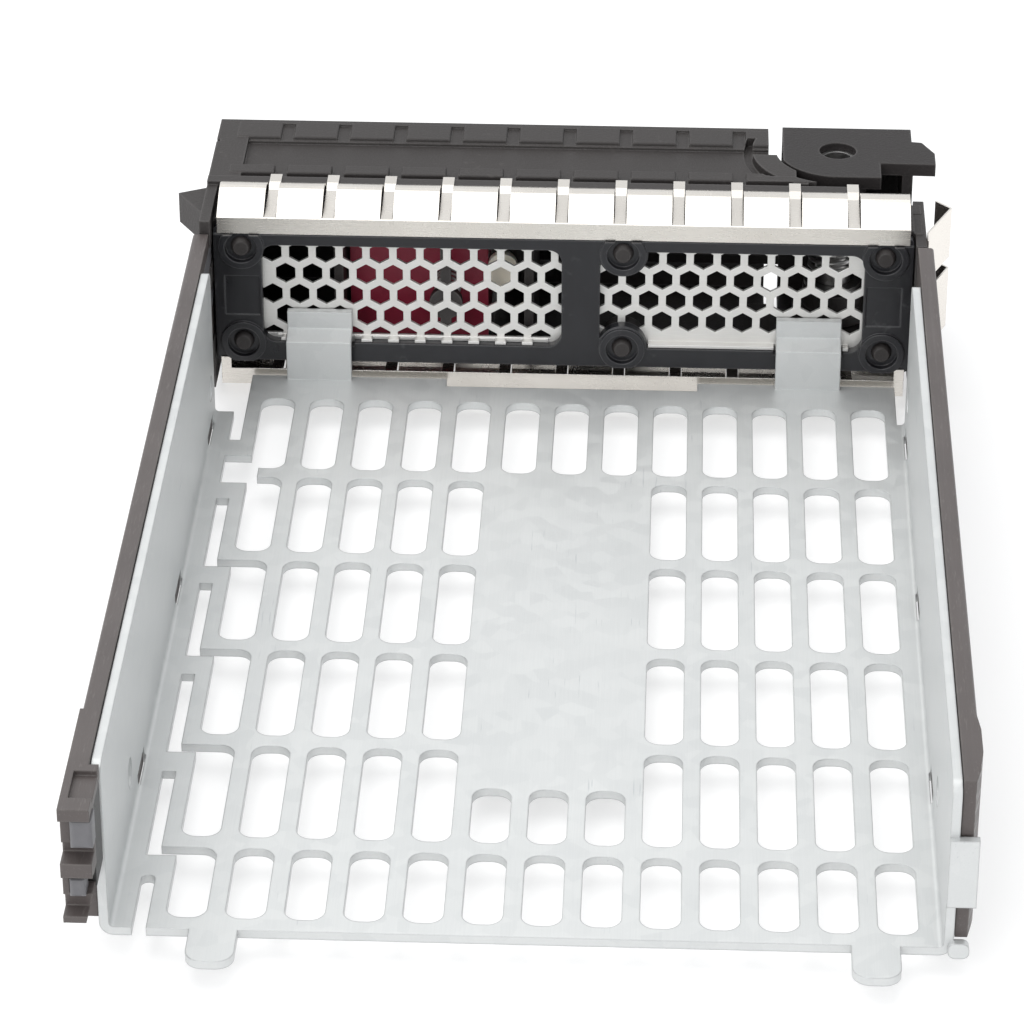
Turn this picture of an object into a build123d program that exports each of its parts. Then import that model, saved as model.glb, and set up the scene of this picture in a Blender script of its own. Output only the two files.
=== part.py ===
from build123d import *
import os
from math import sqrt

# Hot-swap carrier for a 3.5 inch hard disk drive: a slotted sheet-steel pan between two plastic
# rails, with a hollow plastic bezel at the front that holds the ejector lever and its release button.
# Millimetres. +X right and +Y towards the bezel, seen from behind the carrier; +Z up.
# The origin is at the centre of the carrier's outline, on the surface it stands on.
# The steps and lands written as small numbers inside the functions are the details' own sizes.

# ---- driving dimensions ------------------------------------------------------------------------
drive_width = 101.6          # standard 3.5 inch drive
drive_clearance = 0.2        # each side, drive to pan wall
sheet = 1.2                  # pan steel
pan_length = 142.0           # rear edge to front edge of the pan's floor
wall_height = 23.6           # pan wall above the floor's top face
rail_thickness = 2.4         # plastic rail outside the pan wall
rail_height = 24.0           # rail's top face above the floor's top face
rail_foot = 1.2              # rail's lower edge above the floor's top face
left_rail_overhang = 10.0    # left rail past the pan's rear edge, round the light pipes
bezel_depth = 32.6           # rear face of the frame to the front of the bezel's top wall
bezel_height = 29.5          # bezel top face to bezel bottom face
bezel_top = 26.5             # bezel's top face above the pan floor's top face
front_swell = 2.0            # lever and fascia ahead of the bezel's top wall
gasket_bow = 1.5             # contact fingers above and below the bezel
side_reach = 57.8            # side contact finger and guide wedge, from the middle plane
lever_swing = 50.0           # degrees
button_travel = 2.5
plunger_travel = 4.0
running_gap = 0.05           # radial, shaft in hole
moving_gap = 0.3             # between pieces that move past each other
seat_gap = 0.1               # between fixed pieces that plug together

# ---- heights and stations worked out from them -------------------------------------------------
floor_z = gasket_bow + bezel_height - bezel_top      # top face of the pan's floor
top_z = floor_z + bezel_top
base_z = top_z - bezel_height
mid_z = (top_z + base_z) / 2
frame_gap = 1.4                                      # pan's front edge to the bezel frame
total_length = left_rail_overhang + pan_length + frame_gap + bezel_depth + front_swell
rear_y = -total_length / 2 + left_rail_overhang      # rear edge of the pan
front_y = rear_y + pan_length                        # front edge of the pan
frame_y = front_y + frame_gap                        # rear face of the bezel frame
bezel_y = frame_y + bezel_depth                      # front of the bezel's top wall
nose_y = bezel_y + front_swell                       # foremost face

wall_in = drive_width / 2 + drive_clearance
wall_out = wall_in + sheet
rail_out = wall_out + rail_thickness
bezel_side = rail_out - 0.9
frame_side = wall_out - 0.3


def block(x0, x1, y0, y1, z0, z1):
    return Pos((x0 + x1) / 2, (y0 + y1) / 2, (z0 + z1) / 2) * Box(x1 - x0, y1 - y0, z1 - z0)


def rod_x(radius, x0, x1, y, z):
    return Pos((x0 + x1) / 2, y, z) * Rot(0, 90, 0) * Cylinder(radius, x1 - x0)


def rod_y(radius, y0, y1, x, z):
    return Pos(x, (y0 + y1) / 2, z) * Rot(90, 0, 0) * Cylinder(radius, y1 - y0)


def rod_z(radius, z0, z1, x, y):
    return Pos(x, y, (z0 + z1) / 2) * Cylinder(radius, z1 - z0)


def prism_z(points, z0, z1):
    return extrude(Pos(0, 0, z0) * make_face(Polyline(*points, close=True)), z1 - z0, dir=(0, 0, 1))


def prism_x(points, x0, x1):
    """A closed outline of (y, z) points, carried from x0 to x1."""
    face = make_face(Polyline(*[(x0, y, z) for y, z in points], close=True))
    return extrude(face, x1 - x0, dir=(1, 0, 0))


def joined(first, pieces):
    return first.fuse(*pieces)


# ---- tray pan ----------------------------------------------------------------------------------
# Slots: thirteen columns of round-cornered slots in five full rows and one short row at the rear.
slot_columns = 13
slot_width = 5.0
slot_corner = 2.0
slot_bar = 2.45                                      # metal left between two rows
left_margin = 9.12                                   # wall to the first column's centre line
right_margin = 5.3                                   # wall to the last column's centre line
column_pitch = (2 * wall_in - left_margin - right_margin) / (slot_columns - 1)
rear_land = 2.4                                      # pan's rear edge to the short row
short_slot = 15.1
full_rows = 5
front_land = 7.2                                     # last row to the pan's front edge
row_pitch = (pan_length - rear_land - short_slot - front_land) / full_rows
slot_length = row_pitch - slot_bar
middle_short_slot = 12.3
blank_columns = (5, 6, 7)                            # no slots here in the middle rows
wall_length = pan_length - 11.5                      # the walls stop short of the front edge

side_hole_y = (rear_y + 24.4, rear_y + 126.0)        # 101.6 mm apart on every 3.5 inch drive
side_hole_z = floor_z + 6.35
side_hole_radius = 2.0
screw_head_radius = 3.6


def column_x(column):
    return -wall_in + left_margin + column * column_pitch


def row_near(row):
    """Rear edge of full row 0 (rearmost) to 4 (foremost)."""
    return rear_y + rear_land + short_slot + slot_bar + row * row_pitch


def slot(x, y0, length, width=slot_width, corner=slot_corner):
    outline = Pos(x, y0 + length / 2) * RectangleRounded(width, length, corner)
    return extrude(Pos(0, 0, floor_z - 2 * sheet) * outline, 4 * sheet, dir=(0, 0, 1))


def floor_slots():
    cuts = []
    for column in range(slot_columns):
        cuts.append(slot(column_x(column), rear_y + rear_land, short_slot))
        for row in range(full_rows):
            if row == full_rows - 1 or column not in blank_columns:
                cuts.append(slot(column_x(column), row_near(row), slot_length))
            elif row == 0:
                cuts.append(slot(column_x(column), row_near(row), middle_short_slot))
    return cuts


def floor_cut(x0, x1, y0, y1):
    return block(x0, x1, y0, y1, floor_z - 2 * sheet, floor_z + sheet / 2)


link_left = -wall_in + 2.75                          # slits of the sprung left edge
link_right = -wall_in + 4.5
first_slot_left = column_x(0) - slot_width / 2
link_gap = 1.9
link_width = 4.55


def left_edge_cuts():
    """Slits that turn the floor's left edge into a chain of sprung links."""
    cuts = []
    for row in range(full_rows - 1):
        far = row_near(row) + slot_length
        top = far - link_gap
        below = row_near(row) - slot_bar - link_gap
        cuts.append(floor_cut(link_left, link_right, below, top - link_width))
        cuts.append(floor_cut(link_left, column_x(0), top, far))
    last = rear_y + rear_land + short_slot
    cuts.append(floor_cut(link_left, column_x(0), last - link_gap, last))
    notch_end = rear_y + 11.2
    cuts.append(floor_cut(link_left, link_right, rear_y - 1, notch_end - 0.9))
    cuts.append(slot((link_left + link_right) / 2, notch_end - 4, 4, link_right - link_left, 0.8))
    gap_near = row_near(full_rows - 2) + slot_length - link_gap
    gap_far = row_near(full_rows - 1) + 3.6
    cuts.append(floor_cut(link_left, column_x(0) - 1.2, gap_near, gap_far))
    bridge_far = gap_far + 4.6
    cuts.append(floor_cut(link_left, link_right, bridge_far, front_y + 1))
    cuts.append(floor_cut(-wall_out - 1, link_right, rear_y + wall_length, front_y + 1))
    return cuts


clip_holes = (31.0, 75.4, 119.8)                     # rail feet clip through the fold here
clip_hole_length = 7.0


def clip_stations():
    spread = (wall_length - 130.5) / 2
    return [rear_y + s + spread for s in clip_holes]


hook_width = 9.7
hook_centres = (-wall_in + 14.65, wall_in - 14.15)
hook_rise = 5.2                                      # floor to the joggle
hook_top = 10.0
hook_step = 2.8                                      # forwards, into the bezel frame's window


def hook(x):
    """Z-bent tab: up at the floor's front edge, a step forwards over the frame's lower bar, and up."""
    y0 = front_y - sheet
    y1 = front_y
    z0 = floor_z - sheet
    outline = [(y0, z0), (y1, z0), (y1, floor_z + hook_rise),
               (y1 + hook_step - sheet, floor_z + hook_rise + 1.0),
               (y1 + hook_step, floor_z + hook_rise + 1.0), (y1 + hook_step, floor_z + hook_top),
               (y1 + hook_step - sheet, floor_z + hook_top),
               (y1 + hook_step - sheet, floor_z + hook_rise + 2.1),
               (y0, floor_z + hook_rise + 1.1)]
    return prism_x(outline, x - hook_width / 2, x + hook_width / 2)


ear_width = 6.0
ear_reach = 3.3
ear_centres = (-wall_in + 12.8, wall_in - 8.2)
wrap_low = floor_z + 6.5                             # tab of the right wall over the rail's end
wrap_high = floor_z + 16.2


def tray_pan():
    outline = [(-wall_out, floor_z - sheet), (wall_out, floor_z - sheet), (wall_out, floor_z + wall_height),
               (wall_in, floor_z + wall_height), (wall_in, floor_z), (-wall_in, floor_z),
               (-wall_in, floor_z + wall_height), (-wall_out, floor_z + wall_height)]
    face = make_face(Polyline(*[(x, rear_y, z) for x, z in outline], close=True))
    pan = extrude(face, pan_length, dir=(0, 1, 0))
    outer = [e for e in pan.edges().filter_by(Axis.Y) if e.center().Z < floor_z - sheet / 2]
    pan = fillet(outer, sheet * 1.5)
    inner = [e for e in pan.edges().filter_by(Axis.Y)
             if abs(e.center().Z - floor_z) < 0.01 and abs(abs(e.center().X) - wall_in) < 0.01]
    pan = fillet(inner, sheet * 0.5)
    for side in (-1, 1):
        far = rear_y + wall_length
        cut = block(-2, 2, far, front_y + 1, floor_z - 0.6, floor_z + wall_height + 1)
        pan -= Pos(side * wall_out, 0, 0) * cut
    pan -= floor_cut(wall_in - 1.1, wall_out + 1, rear_y + wall_length, front_y + 1)
    ends = [e for e in pan.edges().filter_by(Axis.X) if e.center().Z > floor_z + wall_height - 0.1]
    pan = fillet(ends, 1.8)
    cuts = floor_slots() + left_edge_cuts()
    notch_left = -wall_in + 33.8
    notch_right = wall_in - 30.6
    cuts.append(floor_cut(notch_left, notch_right, front_y - 2.4, front_y + 1))
    for side in (-1, 1):
        for y in clip_stations():
            x0 = side * (wall_in - 0.2)
            x1 = side * (wall_out + 0.5)
            cuts.append(block(min(x0, x1), max(x0, x1), y, y + clip_hole_length,
                              floor_z - 2 * sheet, floor_z + 1.5))
        for y in side_hole_y:
            cuts.append(rod_x(side_hole_radius, side * wall_out - 3, side * wall_out + 3, y, side_hole_z))
    pan = pan.cut(*cuts)
    adds = [hook(x) for x in hook_centres]
    for x in ear_centres:
        ear = Pos(x, rear_y + 1 - ear_reach) * RectangleRounded(ear_width, 2 * ear_reach + 2, 2.2)
        adds.append(extrude(Pos(0, 0, floor_z - sheet) * ear, sheet, dir=(0, 0, 1)))
    adds.append(block(wall_in, rail_out, rear_y - 0.8, rear_y + 0.3, wrap_low, wrap_high))
    foot = Plane((0, rear_y - 0.8, 0), x_dir=(1, 0, 0), z_dir=(0, -1, 0)) * Pos(rail_out - 1.8, floor_z)
    adds.append(extrude(foot * RectangleRounded(2.6, 2.2, 0.9), 1.1, dir=(0, 1, 0)))
    return joined(pan, adds)


# ---- rails -------------------------------------------------------------------------------------
# Glass-filled nylon strips outside the pan walls. Feet clip through the holes in the pan's folds, and
# a nose at the front end plugs into the bezel's side wall.
rail_front_y = front_y - 1.0
nose_length = 6.0
nose_low = floor_z + 6.0
nose_high = floor_z + 15.0
pipe_thick = 0.9
pipe_x0 = -wall_out - 1.0                            # light pipes' outer face
pipe_bands = ((floor_z + 18.4, floor_z + 21.4), (floor_z + 11.2, floor_z + 13.8))
groove_z = mid_z + 1.0


def rail(side, rear):
    """One rail: a strip with a guide groove outside, clip feet, screw-head bores and a front nose."""
    inner = wall_out + seat_gap
    z0 = floor_z + rail_foot
    z1 = floor_z + rail_height
    body = block(inner, rail_out, rear, rail_front_y, z0, z1)
    tips = [e for e in body.edges().filter_by(Axis.Y) if e.center().X > rail_out - 0.1]
    body = fillet(tips, 0.5)
    body -= block(rail_out - 0.8, rail_out + 1, rear + 14, rail_front_y - 8, groove_z - 3.4, groove_z + 3.4)
    body += block(rail_out - 1.4, rail_out - 0.3, rear + 30, rear + 33, groove_z - 3.6, groove_z + 3.6)
    cuts = [rod_x(screw_head_radius, inner - 1, rail_out + 1, y, side_hole_z) for y in side_hole_y]
    pitch = (rail_front_y - rear - 40) / 8
    for i in range(8):
        y = rear + 24 + i * pitch
        cuts.append(block(rail_out - 0.6, rail_out + 1, y, y + pitch * 0.55, z0 + 2.0, z0 + 3.2))
    body = body.cut(*cuts)
    nose = block(inner + 0.1, bezel_side - 0.1, rail_front_y - 1, frame_y + nose_length - 2.4,
                 nose_low, nose_high)
    feet = []
    for y in clip_stations():
        feet.append(block(wall_in + 0.1, rail_out - 0.6, y + 0.5, y + clip_hole_length - 0.5,
                          floor_z - 0.9, floor_z + 0.9))
        feet.append(block(inner, rail_out - 0.6, y + 0.5, y + clip_hole_length - 0.5, floor_z - 0.9, z0 + 1))
    body = joined(body, [nose] + feet)
    if side < 0:
        body = body.mirror(Plane.YZ)
    return body


lens_y = rear_y - left_rail_overhang
lens_heads = ((floor_z + 18.2, floor_z + 22.2), (floor_z + 11.2, floor_z + 13.8))
lens_spans = ((-wall_out - 1.4, -wall_in + 0.1), (-wall_out - 1.8, -wall_out + 0.1))
clip_band = (floor_z + 10.4, floor_z + 22.0)


def left_rail():
    """The left rail runs past the pan as a stepped tail that carries both lens heads."""
    body = rail(-1, rear_y + 0.5)
    outer = -rail_out - 0.3
    tail = block(outer, -wall_in - 0.1, lens_y, rear_y - 0.2, floor_z + 7.7, floor_z + rail_height)
    tail += block(outer, -wall_out - seat_gap, rear_y - 0.4, rear_y + 12, floor_z + 7.7, floor_z + rail_height)
    slant = [(-wall_in + 0.5, floor_z + 14.5), (-wall_in - 1.3, floor_z + 7.0), (-wall_in + 0.5, floor_z + 7.0)]
    corner_line = make_face(Polyline(*[(x, lens_y - 1, z) for x, z in slant], close=True))
    tail -= extrude(corner_line, left_rail_overhang + 1, dir=(0, 1, 0))
    steps = ((1.8, 18.0, 22.3), (2.8, 16.2, 18.1), (1.2, 10.9, 14.2), (2.4, 8.6, 11.0))
    for depth, low, high in steps:
        tail -= block(-rail_out - 1, -wall_in + 1, lens_y - 1, lens_y + depth, floor_z + low, floor_z + high)
    tail -= block(outer + 1.0, -wall_in + 1, lens_y + 2.6, lens_y + 8.4, floor_z + 23.3, floor_z + 25)
    body = joined(body, [tail])
    cuts = []
    for low, high in pipe_bands:
        cuts.append(block(pipe_x0 - seat_gap, -wall_in + 1, lens_y - 1, frame_y + nose_length,
                          low - seat_gap, high + seat_gap))
    for (low, high), (x0, x1) in zip(lens_heads, lens_spans):
        cuts.append(block(x0 - seat_gap, x1 + seat_gap, lens_y - 1, lens_y + 3.1,
                          low - seat_gap, high + seat_gap))
    low, high = clip_band
    cuts.append(block(-wall_out - 0.3, -wall_in + 1, lens_y + 3.9, rear_y + 1, low - 0.1, high + 0.1))
    return body.cut(*cuts)


def right_rail():
    body = rail(1, rear_y + 0.5)
    shoulder = prism_z([(wall_out + seat_gap, rear_y + 0.5), (rail_out - 0.6, rear_y + 0.5),
                        (rail_out + 0.3, rear_y + 7.0), (rail_out + 0.3, rear_y + 12.0),
                        (rail_out - 0.2, rear_y + 16.0), (wall_out + seat_gap, rear_y + 16.0)],
                       wrap_high + 0.2, floor_z + rail_height)
    body = joined(body, [shoulder])
    body -= prism_z([(rail_out - 0.9, rear_y), (rail_out + 1, rear_y), (rail_out + 1, rear_y + 8.0)],
                    floor_z, floor_z + rail_height + 1)
    return body - block(wall_in, rail_out + 1, rear_y - 1, rear_y + 0.6, floor_z - 1, wrap_high + 0.1)


def light_pipe(number):
    """A clear bar along the left rail, a lens head at the rear end and a window head in front."""
    low, high = pipe_bands[number]
    bar = block(pipe_x0, pipe_x0 + pipe_thick, lens_y + 1.0, bezel_y + 0.4, low, high)
    x0, x1 = lens_spans[number]
    head = block(x0, x1, lens_y + 0.2, lens_y + 3.0, *lens_heads[number])
    crown = [e for e in head.edges() if e.center().Y < lens_y + 0.3]
    head = fillet(crown, 0.6)
    window = block(pipe_x0, pipe_x0 + 3.4, bezel_y - 2.0, nose_y - 0.2, low, high)
    return joined(bar, [head, window])


def light_pipe_clip():
    """Snap clip that holds both light pipes against the rail behind the pan."""
    low, high = clip_band
    x0 = -wall_out - 0.05
    clip = block(x0, -wall_in - 0.2, lens_y + 4.0, rear_y - 0.4, low, high)
    return clip - block(x0 - 1, -wall_out + 0.5, lens_y + 5.2, rear_y - 1.6, low + 3.8, high - 4.0)


# ---- bezel frame, screen and housing -----------------------------------------------------------
frame_thick = 1.6
screen_thick = 0.5
ring_thick = 2.0
frame_low = floor_z + 1.9
frame_high = floor_z + 24.0
window_low = floor_z + 5.0
window_high = floor_z + 21.2
window_side = frame_side - 7.1                       # outer edge of both windows
divider = (-0.1, 5.6)
stake_x = (-frame_side + 4.1, 9.0, frame_side - 4.1)
stake_z = (floor_z + 5.0, floor_z + 20.8)
stake_ring = 3.4
screen_y = frame_y + frame_thick
ring_y = screen_y + screen_thick
inner_y = ring_y + ring_thick
hex_pitch = 4.02
hex_across = 2.9
hex_row = hex_pitch * sqrt(3) / 2
hex_rows = 5
hex_top_z = floor_z + 19.3
flange_z = window_low + 0.05


def window_cuts(y0, y1, grow):
    left = Plane((0, y0, 0), x_dir=(1, 0, 0), z_dir=(0, -1, 0))
    spans = ((-window_side, divider[0]), (divider[1], window_side))
    cuts = []
    for x0, x1 in spans:
        face = RectangleRounded(x1 - x0 + 2 * grow, window_high - window_low + 2 * grow, 2.0)
        place = left * Pos((x0 + x1) / 2, (window_low + window_high) / 2)
        cuts.append(extrude(place * face, y1 - y0, dir=(0, 1, 0)))
    return cuts


def rear_frame():
    frame = block(-frame_side, frame_side, frame_y, screen_y, frame_low, frame_high)
    corners = [e for e in frame.edges().filter_by(Axis.Y)]
    frame = fillet(corners, 0.8)
    frame = frame.cut(*window_cuts(frame_y - 1, screen_y + 1, 0))
    bosses = [rod_y(stake_ring + 0.3, frame_y, screen_y, stake_x[1], z) for z in stake_z]
    rings = [rod_y(stake_ring, frame_y - 0.5, screen_y, x, z) for x in stake_x for z in stake_z]
    frame = joined(frame, bosses + rings)
    clip = block(-frame_side, frame_side, frame_y - 1, screen_y + 1, frame_low, frame_high)
    frame = frame & clip
    cuts = []
    for x in stake_x:
        for z in stake_z:
            cuts.append(rod_y(2.4, frame_y - 1, frame_y + 0.5, x, z))
            cuts.append(rod_y(1.1 + seat_gap, frame_y, screen_y + 1, x, z))
    lift = floor_z + 22.9
    cuts.append(block(-frame_side - 1, frame_side + 1, frame_y - 1, frame_y + 0.3, lift, frame_high + 1))
    for x in stake_x[::2]:
        cuts.append(block(x - 2.6, x + 2.6, frame_y - 1, frame_y + 0.2, floor_z + 9.5, floor_z + 16.0))
    for x in hook_centres:
        cuts.append(block(x - hook_width / 2 - 0.3, x + hook_width / 2 + 0.3, frame_y - 1, frame_y + 1.7,
                          floor_z + 4.4, floor_z + 5.1))
    return frame.cut(*cuts)


def hex_centres():
    """(x, z, row) of every hole of the screen: five staggered rows, the last one behind the left window."""
    centres = []
    for row in range(hex_rows):
        z = hex_top_z - row * hex_row
        x = -window_side + 1.4 + (hex_pitch / 2 if row % 2 else 0)
        while x < window_side + 0.5:
            near_stake = [s for s in stake_x for t in stake_z if (x - s) ** 2 + (z - t) ** 2 < 3.3 ** 2]
            if not near_stake and not (row == hex_rows - 1 and x > divider[0] - 1.5):
                centres.append((x, z, row))
            x += hex_pitch
    return centres


def honeycomb_screen():
    """Perforated sheet behind the frame, with a lip bent over each window's lower edge."""
    edge = frame_side - 1.6
    low = window_low - 2.4
    screen = block(-edge, edge, screen_y, ring_y, low, window_high + 1.6)
    lip_top = flange_z + screen_thick
    lips = []
    for x0, x1 in ((-window_side + 2.0, divider[0] - 2.0), (stake_x[1] + 3.9, window_side - 2.0)):
        lip = block(x0, x1, frame_y + 0.3, screen_y + 0.2, flange_z, lip_top)
        for x in hook_centres:
            lip -= block(x - hook_width / 2 - 0.3, x + hook_width / 2 + 0.3, frame_y - 1, screen_y - 0.1,
                         flange_z - 1, flange_z + 2)
        lips.append(lip)
    screen = joined(screen, lips)
    plane = Plane((0, screen_y, 0), x_dir=(1, 0, 0), z_dir=(0, -1, 0))
    cell = RegularPolygon(hex_across / 2, 6, major_radius=False, rotation=30)
    cuts = []
    for x, z, row in hex_centres():
        hole = Pos(0, -1, 0) * extrude(plane * Pos(x, z) * cell, screen_thick + 2, dir=(0, 1, 0))
        if row == hex_rows - 1:
            hole = hole & block(x - 3, x + 3, screen_y - 2, ring_y + 1, lip_top + 0.15, z + 3)
            cuts.append(block(x - 1.2, x + 1.2, frame_y - 1, screen_y - 0.3, flange_z - 1, flange_z + 2))
        cuts.append(hole)
    for x in stake_x:
        for z in stake_z:
            cuts.append(rod_y(1.1 + seat_gap, screen_y - 1, screen_y + 2, x, z))
    return screen.cut(*cuts)


pivot_x = bezel_side - 12.65
pivot_y = bezel_y - 7.8
pivot_hole = 2.8
lever_plate = 2.0
lever_arc = 9.0                                      # round corner of the lever's plates, about the pivot
button_x0 = -bezel_side + 21.3
button_x1 = button_x0 + 21.0
plunger_x = button_x1 + 2.3
plunger_z = floor_z + 14.6
plunger_radius = 2.2
shank_radius = 1.3
spring_x = button_x1 - 6.1
spring_z = floor_z + 10.8
arm_x = pivot_x - 10.25                              # right end of the bezel's raised top
wall = 1.6
top_skin = 25.4 - bezel_top + top_z                  # channel level of the top wall
rib_y0 = frame_y + 10.4                              # rib that the gasket's hooks hold
rib_y1 = rib_y0 + 2.0
tile_pitch = 8.64
tile_width = 6.75
near_row = (frame_y + 13.9, frame_y + 16.6)
far_row = (bezel_y - 6.3, bezel_y - 1.0)
gasket_slot = 1.9
gasket_first = -frame_side + 8.5


def top_tiles(count):
    """Raised blocks of the bezel's top wall: two rows of equal tiles with a sunk channel between."""
    tiles = []
    for i in range(count):
        x0 = -bezel_side + 3.0 + i * tile_pitch
        x1 = min(x0 + tile_width, arm_x)
        if x1 - x0 < 1.5:
            continue
        for y0, y1 in (near_row, far_row):
            tile = block(x0, x1, y0, y1, top_skin - 0.2, top_z)
            upper = [e for e in tile.edges() if e.center().Z > top_z - 0.01]
            tiles.append(fillet(upper, 0.3))
    return tiles


def half_housing():
    """The bezel housing's upper half: top wall, gasket rib, ledge under the lever and half the ring."""
    skin = block(-bezel_side, arm_x, rib_y0, bezel_y, top_skin - wall, top_skin)
    count = int((arm_x + bezel_side) / tile_pitch) + 1
    parts = top_tiles(count)
    level = top_skin + 0.5
    parts.append(block(-bezel_side, arm_x, far_row[0] - 0.4, bezel_y, top_skin - 0.2, level))
    parts.append(block(-bezel_side, arm_x, far_row[1] - 0.2, bezel_y, top_skin - 0.2, top_z - 0.2))
    parts.append(block(button_x1 + 0.6, arm_x, bezel_y - 1.4, bezel_y, mid_z + 8.55, top_skin))
    parts.append(block(-bezel_side, -bezel_side + 4.8, rib_y1, bezel_y, top_skin - 0.2, top_z - 0.2))
    parts.append(block(-bezel_side, pivot_x + 2.0, rib_y0, rib_y1, top_skin - wall, top_z))
    parts.append(block(arm_x - 3.4, pivot_x + 0.2, near_row[0], near_row[1] - 1.0, top_skin - wall, top_z))
    parts.append(block(-frame_side, frame_side, ring_y, rib_y0 + 0.5, top_skin - wall - 1.0, top_skin - 1.0))
    parts.append(block(-bezel_side + 0.5, bezel_side - 0.5, ring_y, rib_y0 - 1.5, top_skin - wall - 1.3,
                       top_skin - 1.3))
    ledge_z = top_z - lever_plate - moving_gap
    parts.append(block(arm_x - 1, pivot_x + 1.5, rib_y0, pivot_y - 3.2, ledge_z - wall, ledge_z))
    parts.append(block(pivot_x, bezel_side - 0.5, rib_y0 - 2, rib_y1 - 1.2, ledge_z - wall, ledge_z))
    parts.append(rod_z(6.2, ledge_z - wall, ledge_z, pivot_x, pivot_y))
    parts.append(rod_z(4.6, ledge_z - 4.4, ledge_z, pivot_x, pivot_y))
    rim = rod_z(13.0, ledge_z - wall, top_z - 0.1, pivot_x, pivot_y)
    rim -= rod_z(lever_arc + 0.4, ledge_z - wall - 1, top_z + 1, pivot_x, pivot_y)
    parts.append(rim & block(pivot_x - 14, pivot_x - 4.6, pivot_y - 11.5, pivot_y - 1.6, ledge_z - wall, top_z))
    half = joined(skin, parts)
    sweep_near = block(pivot_x - 6.4, bezel_side + 1, pivot_y - 15.6, pivot_y - 6, ledge_z, top_z + 1)
    bore = pivot_hole - running_gap
    cuts = [rod_z(lever_arc + 0.3, ledge_z, top_z + 1, pivot_x, pivot_y),
            rod_z(lever_arc + 2.4, ledge_z, top_z + 1, pivot_x, pivot_y) & sweep_near,
            rod_z(15.7, ledge_z, top_z + 1, pivot_x, pivot_y) & Pos(9.4, 0, 0) * sweep_near,
            rod_z(bore, ledge_z - 6, top_z + 1, pivot_x, pivot_y),
            block(pivot_x + 0.2, pivot_x + 1.4, rib_y1 + 0.8, rib_y1 + 2.4, ledge_z - wall - 1, ledge_z + 1)]
    cuts.append(block(arm_x - 0.2, pivot_x - 6.4, pivot_y - 1.6, bezel_y + 2, mid_z, top_z + 1))
    groove = rod_z(14.2, top_skin - 0.4, top_z + 1, pivot_x, pivot_y)
    groove -= rod_z(13.0, top_skin - 1, top_z + 2, pivot_x, pivot_y)
    cuts.append(groove & block(arm_x - 6, arm_x + 4, pivot_y - 9, pivot_y + 4, top_skin - 0.4, top_z + 1))
    return half.cut(*cuts)


right_side_y = pivot_y - 11.6
sleeve_y0 = inner_y + 2.2 + plunger_travel + moving_gap
sleeve_y1 = sleeve_y0 + 4.0


def bezel_housing():
    upper = half_housing()
    lower = upper.mirror(Plane((0, 0, mid_z), z_dir=(0, 0, 1)))
    hollow = block(-frame_side - 1, frame_side + 1, ring_y - 1, rib_y0 - 0.5, base_z - 2, frame_low + 0.1)
    lower -= hollow
    ring = block(-bezel_side + 0.5, bezel_side - 0.5, ring_y, inner_y, frame_low, top_skin - wall)
    ring = ring.cut(*window_cuts(ring_y - 1, inner_y + 1, 0.3))
    left = block(-bezel_side, -bezel_side + wall, frame_y - 1.9, bezel_y, base_z + 1, top_z - 0.6)
    right = block(bezel_side - wall, bezel_side, frame_y - 1.9, right_side_y, base_z + 1, top_z - 2.6)
    ribs = []
    for x in (button_x0 - 1.9, button_x1 + 5.6):
        ribs.append(block(x, x + 1.4, inner_y - 0.5, bezel_y - 2.4, frame_low + 0.2, top_skin - wall + 0.1))
        ribs.append(block(x, x + 1.4, rib_y1 + 0.4, bezel_y - 2.4, base_z + wall, frame_low + 1))
    seat = block(spring_x - 0.8, spring_x + 0.8, ring_y, ring_y + 1.4, frame_low + 1, top_skin - wall)
    pad = rod_y(2.5, ring_y, ring_y + 1.4, spring_x, spring_z)
    sleeve = block(plunger_x - 2.0, button_x1 + 6.0, sleeve_y0, sleeve_y1, plunger_z - 2.6, plunger_z + 2.6)
    stakes = []
    for x in stake_x:
        for z in stake_z:
            stakes.append(rod_y(1.1, frame_y + 0.4, ring_y + 0.5, x, z))
            dome = Pos(x, frame_y + 0.55, z) * Sphere(1.55)
            stakes.append(dome & block(x - 2, x + 2, frame_y - 0.55, frame_y + 0.5, z - 2, z + 2))
    bosses = [rod_y(stake_ring, ring_y, inner_y, stake_x[1], z) for z in stake_z]
    wedge = prism_z([(-bezel_side + 0.4, frame_y + 1.2), (-side_reach, frame_y + 8.4),
                     (-bezel_side + 0.4, frame_y + 10.6)], floor_z + 20.6, floor_z + 25.4)
    whole = joined(upper, [lower, ring, left, right, seat, pad, sleeve, wedge]
                   + ribs + stakes + bosses)
    cuts = [rod_y(shank_radius + running_gap, inner_y - 1, bezel_y, plunger_x, plunger_z),
            block(button_x0 - 0.4, button_x1 + 0.4, inner_y + 3.2, nose_y + 1, base_z - 1 + wall * 2,
                  top_skin - wall)]
    for side in (-1, 1):
        x0 = side * (wall_out - 0.1)
        x1 = side * (bezel_side + 1)
        cuts.append(block(min(x0, x1), max(x0, x1), frame_y - 3, frame_y + nose_length - 2.2,
                          nose_low - 0.2, nose_high + 0.2))
    for low, high in pipe_bands:
        cuts.append(block(pipe_x0 - seat_gap, pipe_x0 + pipe_thick + 0.3, frame_y - 3, bezel_y + 1,
                          low - seat_gap, high + seat_gap))
        cuts.append(block(pipe_x0 - seat_gap, pipe_x0 + 3.6, bezel_y - 2.3, bezel_y + 1,
                          low - seat_gap, high + seat_gap))
    cuts.append(block(-bezel_side - 1, -bezel_side + 0.5, bezel_y - 8.0, bezel_y - 7.0, top_z - 5, top_z + 1))
    return whole.cut(*cuts)


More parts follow.
